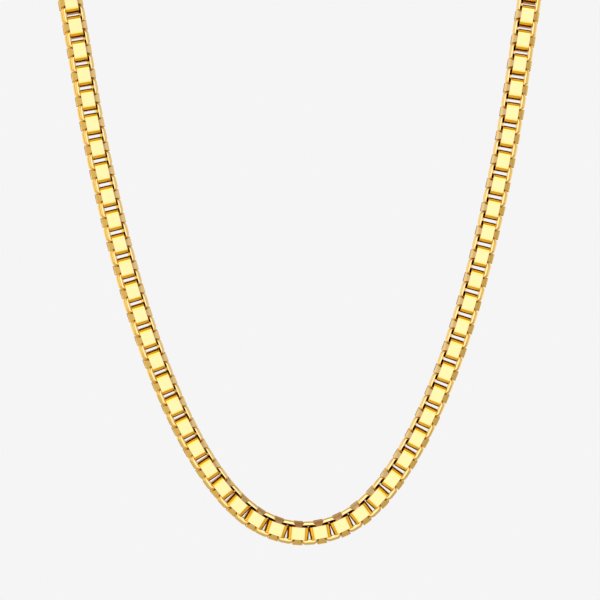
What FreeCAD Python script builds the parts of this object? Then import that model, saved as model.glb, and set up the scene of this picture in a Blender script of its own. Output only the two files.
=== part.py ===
import FreeCAD, Part
import math
import os
from FreeCAD import Matrix, Vector

# A box chain necklace, closed at the nape, in the form that it takes when worn.
# Millimetres. The origin is at the nape, +Z is up, and the drop lies in front, towards -Y.

# One link: a square ring bent from a flat strip
link_length = 3.96         # along the chain
link_height = 4.6          # across its two plates, outside
strip_width = 2.5
strip_thickness = 0.73
flat_length = 2.2          # flat part of a plate, along the chain
end_height = 2.3           # flat part of an end, from plate to plate
joint_gap = 0.1            # between the ends of two links that pull on each other

# The dovetail wings on the long edges of a front link's plates
wing_root_length = 1.2
wing_tip_length = 1.9
wing_reach = 2.33          # from the middle of the link

# How the chain runs
face_turn = 5.0            # degrees that the front plates turn towards the inside of the loop
first_link_shift = 0.75    # of the middle side link, along the chain from the lowest point
links_each_way = 103
route_steps = 80           # straight steps in each span of the route

# Corners of the smooth route, from the lowest point of the drop to the nape
route_rows = (
    # across, forward, below
    (0.0, 76.0, 157.0),
    (11.3, 76.0, 153.1),
    (19.5, 76.0, 142.5),
    (25.1, 76.0, 131.7),
    (30.4, 76.0, 118.1),
    (34.7, 76.0, 103.6),
    (38.1, 76.0, 89.3),
    (41.2, 76.0, 74.3),
    (43.4, 76.0, 58.9),
    (47.6, 74.5, 36.0),
    (50.5, 66.5, 22.0),
    (51.7, 52.5, 11.5),
    (51.0, 37.5, 5.5),
    (46.3, 21.5, 2.5),
    (37.0, 8.8, 1.0),
    (24.0, 1.5, 0.2),
    (12.0, 0.0, 0.0),
    (0.0, 0.0, 0.0),
)

# Closing pieces
ring_inner_radius = 2.0
ring_wire = 0.8
eye_radius = 1.5           # middle of its wire
eye_wire = 0.9
barrel_radius = 2.3
barrel_shoulder = 0.9      # bevel at each end of the barrel
seat_gap = 0.16            # between a ring and what it holds


def mirrored(vector):
    return Vector(-vector.x, vector.y, vector.z)


def route_corners():
    half = [Vector(across, -forward, -below) for across, forward, below in route_rows]
    return [mirrored(half[1])] + half + [mirrored(half[-2])]


def spline_point(corners, span, t):
    """A point of the cubic curve that four corners in a row pull on."""
    weights = (
        (1 - t) ** 3 / 6,
        (3 * t ** 3 - 6 * t ** 2 + 4) / 6,
        (-3 * t ** 3 + 3 * t ** 2 + 3 * t + 1) / 6,
        t ** 3 / 6,
    )
    point = Vector(0, 0, 0)
    for weight, corner in zip(weights, corners[span:span + 4]):
        point += corner * weight
    return point


def half_route():
    """Stations from the lowest point to the nape: (distance, point, direction, face)."""
    corners = route_corners()
    spans = len(route_rows) - 1
    points = [
        spline_point(corners, span, step / route_steps)
        for span in range(spans)
        for step in range(route_steps)
    ]
    points.append(spline_point(corners, spans - 1, 1.0))
    turn = math.radians(face_turn)
    face = Vector(0, -math.cos(turn), math.sin(turn))
    distance = 0.0
    stations = []
    for index, point in enumerate(points):
        before = points[max(index - 1, 0)]
        after = points[min(index + 1, len(points) - 1)]
        direction = (after - before).normalize()
        face = (face - direction * face.dot(direction)).normalize()
        distance += (point - before).Length
        stations.append((distance, point, direction, face))
    return stations


stations = half_route()
half_length = stations[-1][0]


def place(distance):
    """Point, direction and face of the chain at a signed distance from the lowest point."""
    reach = min(abs(distance), half_length)
    low, high = 0, len(stations) - 1
    while high - low > 1:
        middle = (low + high) // 2
        if stations[middle][0] > reach:
            high = middle
        else:
            low = middle
    start, end = stations[low], stations[high]
    share = (reach - start[0]) / (end[0] - start[0])
    point, direction, face = (start[k] + (end[k] - start[k]) * share for k in (1, 2, 3))
    if distance < 0:
        point, direction, face = mirrored(point), -mirrored(direction), mirrored(face)
    return point, direction.normalize(), face.normalize()


def joint_step(distance, sign):
    """From one link's middle to the next: shorter where the chain bends."""
    reach = link_length - 2 * strip_thickness - joint_gap
    direction = place(distance)[1]
    side = direction.cross(place(distance)[2])
    ahead = place(distance + sign * reach)[1]
    bend = abs(ahead.dot(place(distance)[2])) + abs(ahead.dot(side))
    return reach - strip_width / 2 * bend


def link_distances():
    """The links' middles along the route, in order from the left end to the right."""
    distances = [first_link_shift]
    for sign in (-1, 1):
        distance = first_link_shift
        for _ in range(links_each_way):
            distance += sign * joint_step(distance, sign)
            distances.append(distance)
    return sorted(distances)


def placed(shape, point, direction, face):
    """A copy of a shape drawn round the origin, its Z along the chain and its Y to the face."""
    side = face.cross(direction)
    matrix = Matrix(
        side.x, face.x, direction.x, point.x,
        side.y, face.y, direction.y, point.y,
        side.z, face.z, direction.z, point.z,
        0, 0, 0, 1,
    )
    return shape.transformed(matrix, True)


def prism(outline, width):
    """A solid from an outline in the Y-Z plane, spread evenly to both sides along X."""
    corners = [Vector(-width / 2, y, z) for y, z in outline]
    face = Part.Face(Part.makePolygon(corners + corners[:1]))
    return face.extrude(Vector(width, 0, 0))


def side_link():
    """A plain link, drawn with its plates facing front and back."""
    top, end = link_height / 2, link_length / 2
    flat, end_flat = flat_length / 2, end_height / 2
    corner = [(top, flat), (end_flat, end)]
    outline = corner + [(-y, z) for y, z in reversed(corner)]
    outline += [(-y, -z) for y, z in outline]
    hole_top, hole_end = top - strip_thickness, end - strip_thickness
    hole = [(hole_top, hole_end), (-hole_top, hole_end), (-hole_top, -hole_end), (hole_top, -hole_end)]
    return prism(outline, strip_width).cut(prism(hole, strip_width * 2))


def wing_pair():
    """Both dovetail wings of the front plate, as one slab that passes through the plate."""
    root, top = strip_width / 2, link_height / 2
    back = top - strip_thickness
    section = [
        Vector(-root, top, 0),
        Vector(-wing_reach, back, 0),
        Vector(wing_reach, back, 0),
        Vector(root, top, 0),
    ]
    slab = Part.Face(Part.makePolygon(section + section[:1])).extrude(Vector(0, 0, wing_tip_length))
    slab.translate(Vector(0, 0, -wing_tip_length / 2))
    half_root, half_tip = wing_root_length / 2, wing_tip_length / 2
    dovetail = [
        Vector(-wing_reach, 0, -half_tip),
        Vector(-root, 0, -half_root),
        Vector(root, 0, -half_root),
        Vector(wing_reach, 0, -half_tip),
        Vector(wing_reach, 0, half_tip),
        Vector(root, 0, half_root),
        Vector(-root, 0, half_root),
        Vector(-wing_reach, 0, half_tip),
    ]
    stamp = Part.Face(Part.makePolygon(dovetail + dovetail[:1])).extrude(Vector(0, link_height, 0))
    return slab.common(stamp)


def front_link():
    front = wing_pair()
    back = front.copy()
    back.rotate(Vector(0, 0, 0), Vector(0, 0, 1), 180)
    return side_link().fuse([front, back]).removeSplitter()


def box_chain(distances):
    """Front and side links in turn, the side links a quarter turn round the chain."""
    front, side = front_link(), side_link()
    side.rotate(Vector(0, 0, 0), Vector(0, 0, 1), 90)
    middle = distances.index(first_link_shift)
    links = []
    for index, distance in enumerate(distances):
        link = side if (index - middle) % 2 == 0 else front
        links.append(placed(link, *place(distance)))
    return Part.makeCompound(links)


def end_ring(distance, clasp_middle):
    """The closed ring in the last link, leaning half-way from the link to the clasp."""
    wire = ring_wire / 2
    ring = Part.makeTorus(ring_inner_radius + wire, wire)
    point, direction, face = place(distance)
    to_clasp = (clasp_middle - point).normalize()
    if direction.dot(to_clasp) < 0:
        direction = -direction
    lean = (direction + to_clasp).normalize()
    axis = (face - lean * face.dot(lean)).normalize()
    return placed(ring, point + lean * ring_offset(), axis, axis.cross(lean))


def ring_offset():
    """From the last link's middle to the ring's, so that the ring clears the end's corners."""
    end_inside = link_length / 2 - strip_thickness
    rise = math.sqrt((ring_inner_radius - seat_gap) ** 2 - (strip_width / 2) ** 2)
    return end_inside + rise


def clasp(left_distance, right_distance):
    """A barrel across the nape with an eye at each end, all one piece."""
    left, right = place(left_distance)[0], place(right_distance)[0]
    middle = (left + right) * 0.5
    eye_centre = (right - left).Length / 2 - ring_offset() - ring_inner_radius
    eye_centre += seat_gap + eye_wire / 2 - eye_radius
    half = eye_centre - eye_radius
    profile = [
        Vector(0, 0, -half),
        Vector(barrel_radius - barrel_shoulder, 0, -half),
        Vector(barrel_radius, 0, -half + barrel_shoulder),
        Vector(barrel_radius, 0, half - barrel_shoulder),
        Vector(barrel_radius - barrel_shoulder, 0, half),
        Vector(0, 0, half),
    ]
    body = Part.Face(Part.makePolygon(profile + profile[:1])).revolve(
        Vector(0, 0, 0), Vector(0, 0, 1), 360)
    eyes = [
        Part.makeTorus(eye_radius, eye_wire / 2, Vector(0, 0, sign * eye_centre), Vector(1, 0, 0))
        for sign in (-1, 1)
    ]
    along = (right - left).normalize()
    upright = Vector(0, 0, 1)
    upright = (upright - along * upright.dot(along)).normalize()
    return placed(body.fuse(eyes), middle, along, upright)


def main():
    os.makedirs("parts", exist_ok=True)
    distances = link_distances()
    left, right = distances[0], distances[-1]
    clasp_middle = (place(left)[0] + place(right)[0]) * 0.5
    nodes = {
        "box_chain": box_chain(distances),
        "end_ring_left": end_ring(left, clasp_middle),
        "end_ring_right": end_ring(right, clasp_middle),
        "clasp": clasp(left, right),
    }
    for name, shape in nodes.items():
        shape.exportStep(os.path.join("parts", name + ".step"))
        print(name, len(shape.Solids), "solids", round(shape.Volume, 1), "mm3", shape.isValid())
    print("loop", round(2 * half_length, 1), "mm, links", len(distances))
    print("ends", round(left, 2), round(right, 2))


main()
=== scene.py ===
import math

import bmesh
import bpy
from mathutils import Matrix, Vector


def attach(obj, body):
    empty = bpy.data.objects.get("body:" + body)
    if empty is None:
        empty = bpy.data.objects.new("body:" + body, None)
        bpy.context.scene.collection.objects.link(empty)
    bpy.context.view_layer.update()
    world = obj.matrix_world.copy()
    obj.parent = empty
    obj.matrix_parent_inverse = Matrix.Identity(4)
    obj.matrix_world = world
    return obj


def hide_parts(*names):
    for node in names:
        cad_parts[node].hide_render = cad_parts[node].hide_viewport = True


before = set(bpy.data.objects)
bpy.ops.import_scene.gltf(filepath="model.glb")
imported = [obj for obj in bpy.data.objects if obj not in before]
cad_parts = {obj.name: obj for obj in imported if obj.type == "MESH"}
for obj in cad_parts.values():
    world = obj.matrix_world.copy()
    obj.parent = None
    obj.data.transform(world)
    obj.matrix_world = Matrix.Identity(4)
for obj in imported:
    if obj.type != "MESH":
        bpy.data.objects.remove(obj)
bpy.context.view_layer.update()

mm = 0.001

# Shapes are drawn in millimetres. A link is drawn round the origin, its Z along the chain,
# its Y towards the face and its X towards the inside of the loop.


class Value:
    # a shader socket that can be used in sums
    def __init__(self, tree, socket):
        self.tree = tree
        self.socket = socket

    # adds a node, its settings first, then the values or links of its sockets
    @classmethod
    def make(cls, tree, kind, settings=None, values=None, output=0):
        made = tree.nodes.new(kind)
        for name, value in (settings or {}).items():
            setattr(made, name, value)
        for key, value in (values or {}).items():
            if isinstance(value, Value):
                tree.links.new(value.socket, made.inputs[key])
            else:
                made.inputs[key].default_value = value
        return cls(tree, made.outputs[output])

    def math(self, operation, a, b):
        return Value.make(self.tree, "ShaderNodeMath", {"operation": operation}, {0: a, 1: b})

    def __add__(self, other):
        return self.math("ADD", self, other)

    def __sub__(self, other):
        return self.math("SUBTRACT", self, other)

    def __rsub__(self, other):
        return self.math("SUBTRACT", other, self)

    def __mul__(self, other):
        return self.math("MULTIPLY", self, other)

    __radd__ = __add__
    __rmul__ = __mul__

    def feed(self, shader, name):
        self.tree.links.new(self.socket, shader.inputs[name])


white = (1.0, 1.0, 1.0, 1.0)
black = (0.0, 0.0, 0.0, 1.0)

gold = {
    "colour": (0.97, 0.74, 0.365, 1.0),
    "warm": (0.94, 0.70, 0.315, 1.0),
    "warmShare": 0.6,        # of the warm colour, in the strongest clouds
    "paintedReflection": (1.0, 0.58, 0.04, 1.0),      # painted reflection: deeper gold where the polish would mirror its own gold
    "paintedShade": (0.34, 0.09, 0.004, 1.0),    # painted shade, in the joints and on the links' steep ends
    "rim": (0.9, 0.68, 0.3, 1.0),        # at a glancing angle
    "cloudScale": 260.0,
    "cloudDetail": 3.0,
    "cloudMiddle": 0.4,
    "grainScale": 2600.0,
    "grainDetail": 4.0,
    "grainMiddle": 0.5,
    "roughness": 0.08,
    "cloudRoughness": 0.07,
    "grainRoughness": 0.04,
    "darkRoughness": 0.2,
    "bump": 0.02,
    "bumpDepth": 0.00002,    # metres
}


# inputs 6 and 7 and output 2 of the node are its colours
def mixed(tree, factor, first, second):
    return Value.make(tree, "ShaderNodeMix", {"data_type": "RGBA"},
                      {0: factor, 6: first, 7: second}, output=2)


def noise(tree, place, scale, detail):
    return Value.make(tree, "ShaderNodeTexNoise", values={
        "Vector": place, "Scale": scale, "Detail": detail})


# the painted shading attribute gives the painted reflection (deeper gold) and the painted
# shade (dark) at each point
def goldMaterial():
    material = bpy.data.materials.new("polishedGold")
    material.use_nodes = True
    tree = material.node_tree
    shader = tree.nodes["Principled BSDF"]
    place = Value.make(tree, "ShaderNodeTexCoord", output=3)     # the object's own
    cloud = noise(tree, place, gold["cloudScale"], gold["cloudDetail"])
    grain = noise(tree, place, gold["grainScale"], gold["grainDetail"])
    paintedShading = Value.make(tree, "ShaderNodeAttribute", {"attribute_name": "paintedShading"})
    paintedReflection = Value.make(tree, "ShaderNodeSeparateColor", values={0: paintedShading}, output=0)
    paintedShade = Value.make(tree, "ShaderNodeSeparateColor", values={0: paintedShading}, output=1)
    colour = mixed(tree, cloud * gold["warmShare"], gold["colour"], gold["warm"])
    # painted reflection: deeper gold mixed in
    colour = mixed(tree, paintedReflection, colour, gold["paintedReflection"])
    # painted shade: dark brown mixed in
    mixed(tree, paintedShade, colour, gold["paintedShade"]).feed(shader, "Base Color")
    rough = gold["roughness"] + (cloud - gold["cloudMiddle"]) * gold["cloudRoughness"]
    rough = rough + (grain - gold["grainMiddle"]) * gold["grainRoughness"]
    rough = rough + paintedShade * gold["darkRoughness"]
    rough.feed(shader, "Roughness")
    Value.make(tree, "ShaderNodeBump", values={
        "Height": grain, "Strength": gold["bump"], "Distance": gold["bumpDepth"],
    }).feed(shader, "Normal")
    shader.inputs["Metallic"].default_value = 1.0
    shader.inputs["Specular Tint"].default_value = gold["rim"]
    return material


class Shape:
    # points, faces and painted reflection and shade, gathered before they become one mesh
    def __init__(self):
        self.points = []
        self.paintedShading = []
        self.faces = []

    def add(self, points, faces, matrix, paintedShading=None):
        base = len(self.points)
        self.points += [matrix @ Vector(p) for p in points]
        self.paintedShading += paintedShading or [(0.0, 0.0)] * len(points)
        self.faces += [tuple(base + i for i in face) for face in faces]

    # closes a row of equal loops into a ring of four-sided faces
    def loft(self, loops, matrix, paintedShading=None):
        count, sides = len(loops), len(loops[0])
        faces = [
            (i * sides + j, i * sides + (j + 1) % sides,
             (i + 1) % count * sides + (j + 1) % sides, (i + 1) % count * sides + j)
            for i in range(count) for j in range(sides)
        ]
        self.add([p for loop in loops for p in loop], faces, matrix, paintedShading)

    def piece(self, name):
        mesh = bpy.data.meshes.new(name)
        mesh.from_pydata([p * mm for p in self.points], [], self.faces)
        layer = mesh.color_attributes.new("paintedShading", "FLOAT_COLOR", "POINT")
        for i, (paintedReflection, paintedShade) in enumerate(self.paintedShading):
            layer.data[i].color = (paintedReflection, paintedShade, 0.0, 1.0)
        bm = bmesh.new()
        bm.from_mesh(mesh)
        bmesh.ops.recalc_face_normals(bm, faces=bm.faces)
        bm.to_mesh(mesh)
        bm.free()
        made = bpy.data.objects.new(name, mesh)
        bpy.context.scene.collection.objects.link(made)
        return made


route = {
    "faceTurn": 5.0,         # degrees that the front plates lean to the inside of the loop
    "shift": 0.75,           # of the middle side link, along the chain from the lowest point
    "linksEachWay": 103,
    "steps": 80,             # in each span between two corners
    "jointReach": 2.4,       # from one link's middle to the next on the straight
    "stripWidth": 2.5,
    # across, forward, below: corners of the curve from the lowest point to the nape
    "corners": (
        (0.0, 76.0, 157.0),
        (11.3, 76.0, 153.1),
        (19.5, 76.0, 142.5),
        (25.1, 76.0, 131.7),
        (30.4, 76.0, 118.1),
        (34.7, 76.0, 103.6),
        (38.1, 76.0, 89.3),
        (41.2, 76.0, 74.3),
        (43.4, 76.0, 58.9),
        (47.6, 74.5, 36.0),
        (50.5, 66.5, 22.0),
        (51.7, 52.5, 11.5),
        (51.0, 37.5, 5.5),
        (46.3, 21.5, 2.5),
        (37.0, 8.8, 1.0),
        (24.0, 1.5, 0.2),
        (12.0, 0.0, 0.0),
        (0.0, 0.0, 0.0),
    ),
}


def mirrored(v):
    return Vector((-v.x, v.y, v.z))


# a point of the even cubic B-spline that four corners in a row pull on
def splinePoint(corners, span, t):
    weights = (
        (1 - t) ** 3 / 6,
        (3 * t ** 3 - 6 * t ** 2 + 4) / 6,
        (-3 * t ** 3 + 3 * t ** 2 + 3 * t + 1) / 6,
        t ** 3 / 6,
    )
    point = Vector((0, 0, 0))
    for weight, corner in zip(weights, corners[span:span + 4]):
        point += corner * weight
    return point


# from the lowest point to the nape: distance, point, direction and face
def halfRoute():
    half = [Vector((across, -forward, -below)) for across, forward, below in route["corners"]]
    corners = [mirrored(half[1])] + half + [mirrored(half[-2])]
    spans, steps = len(half) - 1, route["steps"]
    points = [splinePoint(corners, s, i / steps) for s in range(spans) for i in range(steps)]
    points.append(splinePoint(corners, spans - 1, 1.0))
    turn = math.radians(route["faceTurn"])
    face = Vector((0, -math.cos(turn), math.sin(turn)))
    distance, found = 0.0, []
    for i, point in enumerate(points):
        before, after = points[max(i - 1, 0)], points[min(i + 1, len(points) - 1)]
        direction = (after - before).normalized()
        face = (face - direction * face.dot(direction)).normalized()
        distance += (point - before).length
        found.append((distance, point, direction, face))
    return found


stations = halfRoute()


# point, direction and face at a signed distance from the lowest point, as in the CAD source
def place(distance):
    reach = min(abs(distance), stations[-1][0])
    low, high = 0, len(stations) - 1
    while high - low > 1:
        middle = (low + high) // 2
        if stations[middle][0] > reach:
            high = middle
        else:
            low = middle
    start, end = stations[low], stations[high]
    share = (reach - start[0]) / (end[0] - start[0])
    point, direction, face = (start[k].lerp(end[k], share) for k in (1, 2, 3))
    if distance < 0:
        point, direction, face = mirrored(point), -mirrored(direction), mirrored(face)
    return point, direction.normalized(), face.normalized()


def jointStep(distance, sign):
    reach = route["jointReach"]
    _, direction, face = place(distance)
    ahead = place(distance + sign * reach)[1]
    bend = abs(ahead.dot(face)) + abs(ahead.dot(direction.cross(face)))
    return reach - route["stripWidth"] / 2 * bend


def linkDistances():
    distances = [route["shift"]]
    for sign in (-1, 1):
        distance = route["shift"]
        for _ in range(route["linksEachWay"]):
            distance += sign * jointStep(distance, sign)
            distances.append(distance)
    return sorted(distances)


def frameMatrix(point, direction, face):
    side = face.cross(direction)
    return Matrix((
        (side.x, face.x, direction.x, point.x),
        (side.y, face.y, direction.y, point.y),
        (side.z, face.z, direction.z, point.z),
        (0, 0, 0, 1),
    ))


# Both kinds of link are a strip bent round to a square ring, whose corners are arcs.
frontLink = {
    "length": 4.2,
    "height": 4.6,
    "width": 2.5,
    "thickness": 0.84,
    "flat": 2.0,             # of a plate, along the chain
    "endFlat": 2.3,
    "squareness": 2.2,       # of the corners: 1 is a straight cut, 2 an ellipse
    "edge": (0.10, 0.10),    # rounding of the outer edge, across the strip and into it
    "edgeSteps": 2,
    "holeRound": 0.12,       # radius of the hole's corners
    "deepFrom": (1.20, 1.36),            # painted reflection on the link's ends: from the link's middle, along the chain
    # painted shade on the link's steep ends, from the link's middle, along the chain
    "darkFrom": (1.88, 1.99),
    "deepInside": 0.5,       # painted reflection on the walls of the hole
    "deepEdge": 0.0,         # painted reflection half-way round the outer edge
}

sideLink = dict(
    frontLink,
    length=4.12,
    height=4.44,
    flat=1.5,
    squareness=1.55,
    edge=(0.40, 0.44),
    edgeSteps=3,
    turn=10.0,               # degrees further to the inside than the front plates
    # the side link's bands of painted reflection and painted shade
    deepFrom=(1.3, 1.6),
    darkFrom=(1.50, 1.74),
    deepEdge=0.6,
)

ring = {
    "cornerSteps": 8,
    "innerEdge": 0.07,       # bevel of the hole's edges
}

wing = {
    "rootLength": 1.1,
    "tipLength": 1.98,
    "reach": 2.31,
    "rootHeight": 2.24,      # its outer face, over the link's middle
    "tipHeight": 1.64,
    "backHeight": 1.46,
    "sunk": 0.12,            # how far the root goes into the plate
    "bevel": 0.1,
    "darkBevel": 0.6,        # share of the bevel that counts as an end and gets painted shade
    "outerDeep": 0.6,        # painted reflection on the outside of the loop
    # painted shade of the outer wings, then painted reflection and painted shade of the inner
    # ones
    "outerDark": 0.12,
    "innerDeep": 0.15,
    "innerDark": 0.2,
    "lowDark": 0.75,         # painted shade of the inner wings where the chain runs across
    "edgeDark": 1.0,         # painted shade on the ends
}


# 0 at the first limit, 1 at the second, and even between them
def rise(value, limits):
    share = (value - limits[0]) / (limits[1] - limits[0])
    return min(max(share, 0.0), 1.0)


# round the link's profile: outer point and normal, inner point and normal, each as (Y, Z)
def ringStations(spec):
    top, end = spec["height"] / 2, spec["length"] / 2
    flat, endFlat = spec["flat"] / 2, spec["endFlat"] / 2
    holeTop, holeEnd = top - spec["thickness"], end - spec["thickness"]
    soft = spec["holeRound"]
    power = 2 / spec["squareness"]
    quarter = []
    for i in range(ring["cornerSteps"] + 1):
        a = math.pi / 2 * i / ring["cornerSteps"]
        ca, sa = max(math.cos(a), 0.0), math.sin(a)
        outer = (endFlat + (top - endFlat) * ca ** power, flat + (end - flat) * sa ** power)
        slope = ca ** (2 - power) / (top - endFlat), sa ** (2 - power) / (end - flat)
        normal = Vector(slope).normalized()
        inner = (holeTop - soft + soft * ca, holeEnd - soft + soft * sa)
        quarter.append((outer, tuple(normal), inner, (ca, sa)))
    half = quarter + [tuple((-y, z) for y, z in station) for station in reversed(quarter)]
    return half + [tuple((-y, -z) for y, z in station) for station in half]


def ringLoops(spec):
    half, inner = spec["width"] / 2, ring["innerEdge"]
    across, into = spec["edge"]
    loops, paintedShading = [], []
    for out, outNormal, hole, holeNormal in ringStations(spec):
        side, loopPaintedShading = [], []
        # painted reflection towards the link's ends and painted shade on its steep ends
        paintedReflection = rise(abs(out[1]), spec["deepFrom"])
        paintedShade = rise(abs(out[1]), spec["darkFrom"])
        for i in range(spec["edgeSteps"] + 1):
            a = math.pi / 2 * i / spec["edgeSteps"]
            x, d = half - across * (1 - math.sin(a)), into * (1 - math.cos(a))
            side.append((x, out[0] - outNormal[0] * d, out[1] - outNormal[1] * d))
            loopPaintedShading.append((max(paintedReflection, spec["deepEdge"] * math.sin(2 * a)), paintedShade))
        for x, d in ((half, inner), (half - inner, 0)):
            side.append((x, hole[0] + holeNormal[0] * d, hole[1] + holeNormal[1] * d))
            loopPaintedShading.append((max(paintedReflection, spec["deepInside"] * (x < half)), paintedShade))
        loops.append(side + [(-x, y, z) for x, y, z in reversed(side)])
        paintedShading += loopPaintedShading + loopPaintedShading[::-1]
    return loops, paintedShading


# one wing of the plate at +Y, reaching to +X, with its edges bevelled
def wingShape():
    half = frontLink["width"] / 2 - wing["sunk"]
    rootHalf, tipHalf = wing["rootLength"] / 2, wing["tipLength"] / 2
    bm = bmesh.new()
    corners = []
    for x, y, long in (
        (half, wing["rootHeight"], rootHalf), (wing["reach"], wing["tipHeight"], tipHalf),
        (wing["reach"], wing["backHeight"], tipHalf), (half, wing["backHeight"], rootHalf),
    ):
        corners += [bm.verts.new((x, y, -long)), bm.verts.new((x, y, long))]
    sides = (0, 1, 3, 2), (2, 3, 5, 4), (4, 5, 7, 6), (6, 7, 1, 0), (0, 2, 4, 6), (1, 7, 5, 3)
    for side in sides:
        bm.faces.new([corners[i] for i in side])
    bmesh.ops.recalc_face_normals(bm, faces=bm.faces)
    bmesh.ops.bevel(bm, geom=list(bm.edges), offset=wing["bevel"], segments=1, affect="EDGES")
    bm.verts.index_update()
    points = [tuple(v.co) for v in bm.verts]
    faces = [tuple(v.index for v in f.verts) for f in bm.faces]
    bm.free()
    return points, faces


# the sloping ends of a wing, next to the side links, get painted shade
def wingPaintedShading(points, paintedReflection, shade):
    root = frontLink["width"] / 2 - wing["sunk"]
    paintedShading = []
    for x, y, z in points:
        share = (x - root) / (wing["reach"] - root)
        edge = (wing["rootLength"] + (wing["tipLength"] - wing["rootLength"]) * share) / 2
        paintedShade = wing["edgeDark"] * (abs(z) > edge - wing["bevel"] * wing["darkBevel"])
        paintedShading.append((paintedReflection, max(paintedShade, shade)))
    return paintedShading


# two wings on the front plate and, half a turn round, two on the back one
def addWings(shape, matrix, points, faces, across):
    for turn in (0, math.pi):
        turned = matrix @ Matrix.Rotation(turn, 4, "Z")
        for sign in (-1, 1):
            inside = (sign > 0) == (turn == 0)
            # inner and outer wings get different painted reflection and painted shade
            paintedReflection = wing["innerDeep"] if inside else wing["outerDeep"]
            low = wing["lowDark"] * across
            shade = max(wing["innerDark"], low) if inside else wing["outerDark"]
            placed = [(sign * x, y, z) for x, y, z in points]
            shape.add(placed, faces, turned, wingPaintedShading(points, paintedReflection, shade))


def chainPiece(distances):
    shape = Shape()
    middle = distances.index(route["shift"])
    quarter = Matrix.Rotation(math.radians(90.0 - sideLink["turn"]), 4, "Z")
    frontLoops, sideLoops = ringLoops(frontLink), ringLoops(sideLink)
    points, faces = wingShape()
    for i, distance in enumerate(distances):
        point, direction, face = place(distance)
        matrix = frameMatrix(point, direction, face)
        across = direction.x ** 2    # 0 where the chain hangs, 1 where it runs across; sets the inner wings' painted shade
        if (i - middle) % 2 == 0:
            shape.loft(sideLoops[0], matrix @ quarter, sideLoops[1])
        else:
            shape.loft(frontLoops[0], matrix, frontLoops[1])
            addWings(shape, matrix, points, faces, across)
    return shape.piece("boxChain")


closing = {
    "ringInner": 2.0,
    "ringWire": 0.8,
    "eyeRadius": 1.5,
    "eyeWire": 0.9,
    "barrelRadius": 2.3,
    "shoulder": 0.9,
    "shoulderSteps": 8,
    "pinhole": 0.02,         # keeps the ends of the barrel free of needle faces
    "seatGap": 0.16,
    "linkHold": 1.25,        # inside of a link's end, from its middle
    "ringSides": 48,
    "wireSides": 20,
}


# a ring of round wire: the radius of its middle line, and half the wire's thickness
def torusLoops(radius, wire):
    loops = []
    for i in range(closing["ringSides"]):
        a = 2 * math.pi * i / closing["ringSides"]
        loop = []
        for j in range(closing["wireSides"]):
            b = 2 * math.pi * j / closing["wireSides"]
            r = radius + wire * math.cos(b)
            loop.append((r * math.cos(a), r * math.sin(a), wire * math.sin(b)))
        loops.append(loop)
    return loops


# from the last link's middle to the ring's, so that the ring clears the end of the link
def ringOffset():
    free = closing["ringInner"] - closing["seatGap"]
    return closing["linkHold"] + math.sqrt(free ** 2 - (route["stripWidth"] / 2) ** 2)


def endRing(name, distance, claspMiddle):
    shape = Shape()
    wire = closing["ringWire"] / 2
    point, direction, face = place(distance)
    toClasp = (claspMiddle - point).normalized()
    if direction.dot(toClasp) < 0:
        direction = -direction
    lean = (direction + toClasp).normalized()
    axis = (face - lean * face.dot(lean)).normalized()
    matrix = frameMatrix(point + lean * ringOffset(), axis, axis.cross(lean))
    shape.loft(torusLoops(closing["ringInner"] + wire, wire), matrix)
    return shape.piece(name)


def claspPiece(left, right):
    shape = Shape()
    wire = closing["eyeWire"] / 2
    eye = (right - left).length / 2 - ringOffset() - closing["ringInner"]
    eye += closing["seatGap"] + wire - closing["eyeRadius"]
    half = eye - closing["eyeRadius"]
    radius, shoulder = closing["barrelRadius"], closing["shoulder"]
    profile = [(closing["pinhole"], -half)]
    for i in range(closing["shoulderSteps"] + 1):
        a = math.pi / 2 * i / closing["shoulderSteps"]
        inward, forward = shoulder * (1 - math.sin(a)), shoulder * (1 - math.cos(a))
        profile.append((radius - inward, -half + forward))
    profile += [(r, -z) for r, z in reversed(profile)]
    along = (right - left).normalized()
    upright = Vector((0, 0, 1))
    upright = (upright - along * upright.dot(along)).normalized()
    matrix = frameMatrix((left + right) / 2, along, upright)
    loops = []
    for i in range(closing["ringSides"]):
        a = 2 * math.pi * i / closing["ringSides"]
        loops.append([(r * math.cos(a), r * math.sin(a), z) for r, z in profile])
    shape.loft(loops, matrix)
    for sign in (-1, 1):
        turn = Matrix.Translation((0, 0, sign * eye)) @ Matrix.Rotation(math.pi / 2, 4, "Y")
        shape.loft(torusLoops(closing["eyeRadius"], wire), matrix @ turn)
    return shape.piece("clasp")


flatWeight = 100             # how strongly large faces keep the smooth shading flat


def dress(piece, nodeName, material):
    for polygon in piece.data.polygons:
        polygon.use_smooth = True
    weighted = piece.modifiers.new("flatFaces", "WEIGHTED_NORMAL")
    weighted.mode = "FACE_AREA"
    weighted.weight = flatWeight
    piece.data.materials.append(material)
    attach(piece, "root")
    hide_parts(nodeName)
    print("made", piece.name, len(piece.data.polygons), "faces")


studio = {
    "aim": (-0.666, -76.0, -109.64),     # millimetres, like the distance
    "distance": 480.0,
    "azimuth": 2.5,
    "elevation": 3.0,
    "roll": -0.45,
    "lens": 146.8,
    "paper": 0.913,          # of the floor and wall, as the camera sees them
    "room": 0.69,            # light from the sides
    "ends": 0.10,            # less from straight above and below
    "left": 0.12,            # more from the left, and as much less from the right
}

# metres; a strength of 1 looks white
lights = (
    # name, place, aim, size, strength
    ("front", (0.0, -1.0, -0.10), (0.0, -0.076, -0.10), (0.85, 1.15), 0.62),
    ("top", (0.0, -0.88, 0.46), (0.0, -0.076, -0.08), (1.2, 0.28), 0.90),
    ("left", (-1.2, -0.05, 0.0), (0.0, -0.05, -0.08), (1.6, 1.2), 0.30),
    ("right", (1.2, -0.05, 0.0), (0.0, -0.05, -0.08), (1.6, 1.2), 0.30),
    ("back", (0.0, 1.3, 0.10), (0.0, -0.04, -0.08), (1.6, 1.2), 0.50),
)


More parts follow.
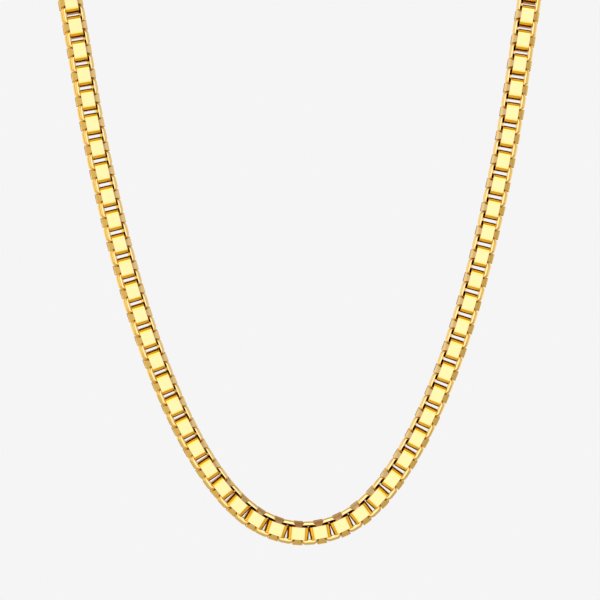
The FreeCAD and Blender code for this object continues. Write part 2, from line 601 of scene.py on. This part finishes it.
def camera():
    a, e = math.radians(studio["azimuth"]), math.radians(studio["elevation"])
    forward = Vector((math.sin(a) * math.cos(e), math.cos(a) * math.cos(e), -math.sin(e)))
    data = bpy.data.cameras.new("camera")
    data.lens = studio["lens"]
    made = bpy.data.objects.new("camera", data)
    made.location = (Vector(studio["aim"]) - forward * studio["distance"]) * mm
    roll = Matrix.Rotation(math.radians(studio["roll"]), 3, "Z")
    made.rotation_euler = (forward.to_track_quat("-Z", "Y").to_matrix() @ roll).to_euler()
    bpy.context.scene.collection.objects.link(made)
    bpy.context.scene.camera = made


def areaLight(name, place, aim, size, strength):
    data = bpy.data.lights.new(name, "AREA")
    data.shape = "RECTANGLE"
    data.size, data.size_y = size
    data.energy = strength * math.pi * size[0] * size[1]
    made = bpy.data.objects.new(name, data)
    made.location = place
    made.rotation_euler = (Vector(aim) - Vector(place)).to_track_quat("-Z", "Y").to_euler()
    made.visible_camera = False
    bpy.context.scene.collection.objects.link(made)


# even light, a little stronger from the left and weaker from straight above and below
def room():
    world = bpy.data.worlds.new("room")
    world.use_nodes = True
    tree = world.node_tree
    place = Value.make(tree, "ShaderNodeTexCoord")
    x = Value.make(tree, "ShaderNodeSeparateXYZ", values={0: place}, output=0)
    z = Value.make(tree, "ShaderNodeSeparateXYZ", values={0: place}, output=2)
    seen = Value.make(tree, "ShaderNodeLightPath")
    light = studio["room"] - z * z * studio["ends"] - x * studio["left"]
    (seen * studio["paper"] + (1 - seen) * light).feed(tree.nodes["Background"], "Strength")
    tree.nodes["Background"].inputs["Color"].default_value = white
    bpy.context.scene.world = world
    bpy.context.scene.view_settings.view_transform = "Standard"
    for row in lights:
        areaLight(*row)


# metres
paper = {
    "floor": -0.45,
    "wall": 1.6,
    "sweep": 0.5,
    "sweepSteps": 12,
    "front": -2.0,
    "top": 2.5,
    "halfWidth": 3.0,
}


# a pale floor that sweeps up into a wall; the gold mirrors the room and not the paper
def cove():
    floor, wall, sweep = paper["floor"], paper["wall"], paper["sweep"]
    profile = [(paper["front"], floor)]
    for i in range(paper["sweepSteps"] + 1):
        a = math.pi / 2 * i / paper["sweepSteps"]
        profile.append((wall - sweep * (1 - math.sin(a)), floor + sweep * (1 - math.cos(a))))
    profile.append((wall, paper["top"]))
    points = [(x, y, z) for y, z in profile for x in (-paper["halfWidth"], paper["halfWidth"])]
    faces = [(2 * i, 2 * i + 1, 2 * i + 3, 2 * i + 2) for i in range(len(profile) - 1)]
    mesh = bpy.data.meshes.new("cove")
    mesh.from_pydata(points, [], faces)
    made = bpy.data.objects.new("cove", mesh)
    made.visible_glossy = False
    bpy.context.scene.collection.objects.link(made)
    material = bpy.data.materials.new("palePaper")
    material.use_nodes = True
    shader = material.node_tree.nodes["Principled BSDF"]
    shader.inputs["Base Color"].default_value = black
    shader.inputs["Roughness"].default_value = 1.0
    shader.inputs["Specular IOR Level"].default_value = 0.0
    shader.inputs["Emission Color"].default_value = white
    shader.inputs["Emission Strength"].default_value = studio["paper"]
    mesh.materials.append(material)


camera()
room()
cove()
print("stage is set")

material = goldMaterial()
distances = linkDistances()
leftPoint, rightPoint = place(distances[0])[0], place(distances[-1])[0]
claspMiddle = (leftPoint + rightPoint) / 2
dress(chainPiece(distances), "box_chain", material)
dress(endRing("endRingLeft", distances[0], claspMiddle), "end_ring_left", material)
dress(endRing("endRingRight", distances[-1], claspMiddle), "end_ring_right", material)
dress(claspPiece(leftPoint, rightPoint), "clasp", material)
